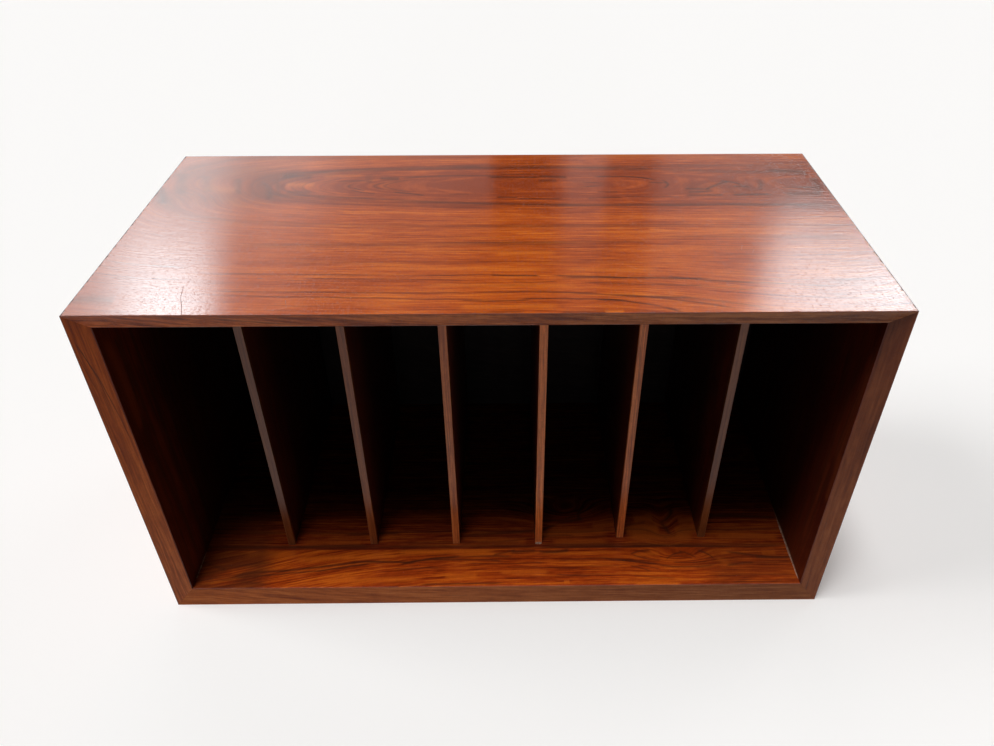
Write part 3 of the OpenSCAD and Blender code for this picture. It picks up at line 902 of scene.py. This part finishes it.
dress(plainMaterial("board_core", coreWood), "top_board", "bottom_board", "left_board", "right_board")
dress(plainMaterial("tongue_beech", tongueWood), *[name for name in cadNodes if name.endswith("_tongue")])
dress(backMaterial(), "back_panel")
dress(plainMaterial("screw_zinc", screwZinc), "back_screws")
print("cores, back and screws dressed")


# beads of glue and lacquer that have set in corners of the floor; start, end and radius in millimetres,
# out is the way from the wall
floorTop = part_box("floor_front_leaf")[1][2] / mm
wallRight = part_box("right_inner_veneer")[0][0] / mm
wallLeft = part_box("left_inner_veneer")[1][0] / mm
frontY = boxLow[1]
edgeLow, edgeHigh = inMillimetres(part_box("divider_4_edge"))
edgeMiddle = (edgeLow[0] + edgeHigh[0]) / 2
resinLook = {
    "clots": [(0.3, (0.22, 0.1, 0.06)), (0.7, (0.46, 0.29, 0.21))],
    "blunt": 0.4, "swell": 0.15, "waves": 3,
}
beadLooks = {
    "floor_bead_right": {
        "start": (wallRight, frontY + 14), "end": (wallRight, frontY + 118), "out": (-1, 0), "radius": 1.3,
    },
    "floor_bead_left": {
        "start": (wallLeft, frontY + 22), "end": (wallLeft, frontY + 60), "out": (1, 0), "radius": 0.9,
    },
    "foot_bead": {
        "start": (edgeMiddle - 4, edgeLow[1]), "end": (edgeMiddle + 4, edgeLow[1]), "out": (0, -1),
        "radius": 1.8,
    },
}


def beadResin(net, x, y, z):
    clots = net.waves((x, 3), (y, 3), (z, 3), detail=3)
    return {
        "Base Color": net.ramp(clots, resinLook["clots"]),
        "Roughness": net.between(clots, 0.3, 0.7, 0.16, 0.34),
    }


def makeBead(name, look, material):
    # a hollow fillet carried along the corner: at angle t its profile stands radius (1 - sin t) out from the
    # wall and radius (1 - cos t) up from the floor; the radius is sin(pi u)^blunt of the full one, so both
    # ends come to a point, and swells and narrows a little in waves
    rings, steps = 60, 9
    start = np.array([*look["start"], floorTop])
    end = np.array([*look["end"], floorTop])
    out = np.array([*look["out"], 0.0])
    up = np.array([0.0, 0.0, 1.0])
    u = np.linspace(0, 1, rings + 2)[1:-1]
    swell = resinLook["swell"] * np.sin(2 * np.pi * resinLook["waves"] * u + 1)
    radius = look["radius"] * np.sin(np.pi * u) ** resinLook["blunt"] * (1 + swell)
    t = np.linspace(0, np.pi / 2, steps)
    profile = np.append(1 - np.sin(t), 0)[:, None] * out + np.append(1 - np.cos(t), 0)[:, None] * up
    line = start + u[:, None] * (end - start)
    points = (line[:, None] + radius[:, None, None] * profile).reshape(-1, 3)
    width = len(profile)
    last = len(points) - width
    startTip = len(points)
    faces = []
    for step in range(width):
        after = (step + 1) % width
        faces.append((after, step, startTip))
        for here in range(0, last, width):
            faces.append((here + step, here + after, here + width + after, here + width + step))
        faces.append((last + step, last + after, startTip + 1))
    mesh = bpy.data.meshes.new(name)
    mesh.from_pydata((np.vstack([points, start, end]) * mm).tolist(), [], faces)
    shell = bmesh.new()
    shell.from_mesh(mesh)
    bmesh.ops.recalc_face_normals(shell, faces=shell.faces)
    shell.to_mesh(mesh)
    shell.free()
    mesh.shade_smooth()
    mesh.materials.append(material)
    bead = addObject(name, mesh)
    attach(bead, "carcass")


setBead = plainMaterial("set_bead", beadResin)
for name, look in beadLooks.items():
    makeBead(name, look, setBead)
print("beads set in the corners")

# floor, light and camera
groundLook = {
    "size": 60,    # metres
    "seen": (0.990, 0.976, 0.964),    # as the camera and the gloss see it
    "bounced": (0.12, 0.11, 0.10),    # what it throws back at the wood
    "roughness": 0.95,
}


def makeGround():
    half = groundLook["size"] / 2
    mesh = bpy.data.meshes.new("ground")
    corners = [(-half, -half, 0), (half, -half, 0), (half, half, 0), (-half, half, 0)]
    mesh.from_pydata(corners, [], [(0, 1, 2, 3)])
    ground = addObject("ground", mesh)
    material, net, shader = newMaterial("ground_paper")
    seen, byCamera = net.seenRays()
    net.feed(shader.inputs["Base Color"], net.mix(seen, groundLook["bounced"], groundLook["seen"]))
    shader.inputs["Roughness"].default_value = groundLook["roughness"]
    shader.inputs["Specular IOR Level"].default_value = 0.0
    mesh.materials.append(material)


makeGround()

worldLook = {
    "dim": 0.022,    # what lights the wood from all round
    "gap": 0.015,    # the dark doorway right behind the box
    "horizon": 0.95,
    "ceiling": 0.45,
    "tint": (0.84, 1.02, 1.08),    # of daylight
    "lowest": 22,    # degrees up, where the panels and windows have their first brightness
    "level": 31,    # where the left window's edge is measured
    "slant": 0.4,    # its lean, in degrees for each degree up
    "coreEdge": (-21.6, -25.2),    # the left core shows inside this edge
    "ceilingFrom": (52, 40),
    "skyLine": (16, 5),
}
# the studio behind the box, as its gloss shows it, in layers that add up: (from azimuth, to azimuth, softness
# of its edges, brightness low down, brightness high up, elevation where that is reached), degrees from +Y
roomPanels = [
    (-80, -1.2, 0.4, 0.5, 0, 31),
    (-80, -4, 3, 0.05, 0.22, 31),
    (-80, -12, 4, 0.4, 0.04, 31),
    (3.6, 80, 0.5, 0.15, 0.06, 31),
    (4.4, 7.4, 0.5, 0.5, 0.16, 31),
    (11.3, 80, 0.9, 0.42, 0.34, 31),
]
leftWindow = [
    (-30.6, -23.6, 2, 0.72, 2.6, 31),
    (-70, -23.8, 1.7, 0.6, 1.4, 31),
    (-70, -17, 3, 0.5, 0.45, 31),
]
rightWindow = [
    (20.5, 60, 2, -0.35, 5.6, 29.5),
    (16, 60, 3, 0, 0.4, 31),
]
# the brightest spots of the windows: azimuth, elevation, half width, half height, brightness
windowCores = [
    (-27, 31.5, 4, 4.5, 7.8),
    (30, 29.5, 3.5, 2.2, 5.5),
    (25.5, 32, 3, 2, 3),
]


def panelLight(net, azimuth, elevation, panels):
    light = 0.0
    for start, end, soft, lowDown, highUp, full in panels:
        window = net.between(azimuth, start - soft, start + soft)
        window = window * net.between(azimuth, end + soft, end - soft)
        light = light + window * net.between(elevation, worldLook["lowest"], full, lowDown, highUp)
    return light


def makeWorld():
    world = bpy.data.worlds.new("studio")
    bpy.context.scene.world = world
    world.use_nodes = True
    world.node_tree.nodes.clear()
    net = NodeNet(world.node_tree)
    right, away, up = net.parts(net.output(net.node("ShaderNodeTexCoord"), "Generated"))
    azimuth = net.maths("ARCTAN2", right, away) * (180 / math.pi)
    elevation = net.maths("ARCSINE", up) * (180 / math.pi)
    room = panelLight(net, azimuth, elevation, roomPanels) + worldLook["gap"]
    leaning = azimuth + (elevation - worldLook["level"]) * worldLook["slant"]
    daylight = panelLight(net, leaning, elevation, leftWindow)
    daylight = daylight + panelLight(net, azimuth, elevation, rightWindow)
    edge = net.between(leaning, *worldLook["coreEdge"])
    for coreAzimuth, coreElevation, halfWidth, halfHeight, brightness in windowCores:
        core = net.bell(azimuth - coreAzimuth, halfWidth) * net.bell(elevation - coreElevation, halfHeight)
        if coreAzimuth < 0:
            core = core * edge
        daylight = daylight + core * brightness
    below = net.between(elevation, *worldLook["ceilingFrom"])
    ceiling = (1.0 - below) * worldLook["ceiling"]
    seen, byCamera = net.seenRays()
    plain = net.most(net.between(elevation, *worldLook["skyLine"]), byCamera)
    parts = []
    for part in worldLook["tint"]:
        wall = (room + daylight * part) * below + ceiling
        wall = wall * (1.0 - plain) + plain * worldLook["horizon"]
        parts.append(seen * wall + (1.0 - seen) * worldLook["dim"])
    background = net.node("ShaderNodeBackground", net.vector(*parts))
    output = net.node("ShaderNodeOutputWorld")
    net.tree.links.new(background.outputs[0], output.inputs[0])


makeWorld()

# how far each lamp leans from straight above (right, towards the front), its share of the light, and its
# spread in degrees
lamps = {
    "overhead": {"lean": (-0.14, 0.08), "share": 0.3, "spread": 15},
    "overhead_front": {"lean": (-0.12, 0.2), "share": 0.36, "spread": 15},
    "window_behind": {"lean": (-0.3, -1.2), "share": 0.03, "spread": 40},
    "left_side": {"lean": (-1.1, -0.05), "share": 0.225, "spread": 30},
    "front_wall": {"lean": (0, 20), "share": 0.0065, "spread": 10},
    "right_behind": {"lean": (3, -2.6), "share": 0.03, "spread": 30},
}


def makeLamps():
    for name, look in lamps.items():
        data = bpy.data.lights.new(name, "SUN")
        right, front = look["lean"]
        data.energy = math.pi * look["share"] * math.hypot(right, front, 1)
        data.angle = math.radians(look["spread"])
        lamp = addObject(name, data)
        lamp.visible_glossy = False    # the gloss shows the world's own windows
        # a sun shines down its own -Z, so +Z points back at where the light comes from
        lamp.rotation_euler = Vector((right, -front, 1)).to_track_quat("Z", "Y").to_euler()


makeLamps()

cameraLook = {
    "place": (0.014454, -0.708668, 0.742702),    # metres
    "turn": -0.5348, "tilt": 52.628, "roll": -0.0475,    # degrees
    "lens": 29.1245, "sensor": 36,
    "shift": (-0.0180, -0.0062),
    "farthest": 200,
}


def makeCamera():
    data = bpy.data.cameras.new("camera")
    data.sensor_width = cameraLook["sensor"]
    data.sensor_fit = "HORIZONTAL"
    data.lens = cameraLook["lens"]
    data.shift_x, data.shift_y = cameraLook["shift"]
    data.clip_end = cameraLook["farthest"]
    camera = addObject("camera", data)
    camera.matrix_world = (
        Matrix.Translation(cameraLook["place"])
        @ Matrix.Rotation(math.radians(cameraLook["turn"]), 4, "Z")
        @ Matrix.Rotation(math.radians(cameraLook["tilt"]), 4, "X")
        @ Matrix.Rotation(math.radians(cameraLook["roll"]), 4, "Z")
    )
    bpy.context.scene.camera = camera


makeCamera()
bpy.context.scene.view_settings.view_transform = "Standard"
print("studio set up")
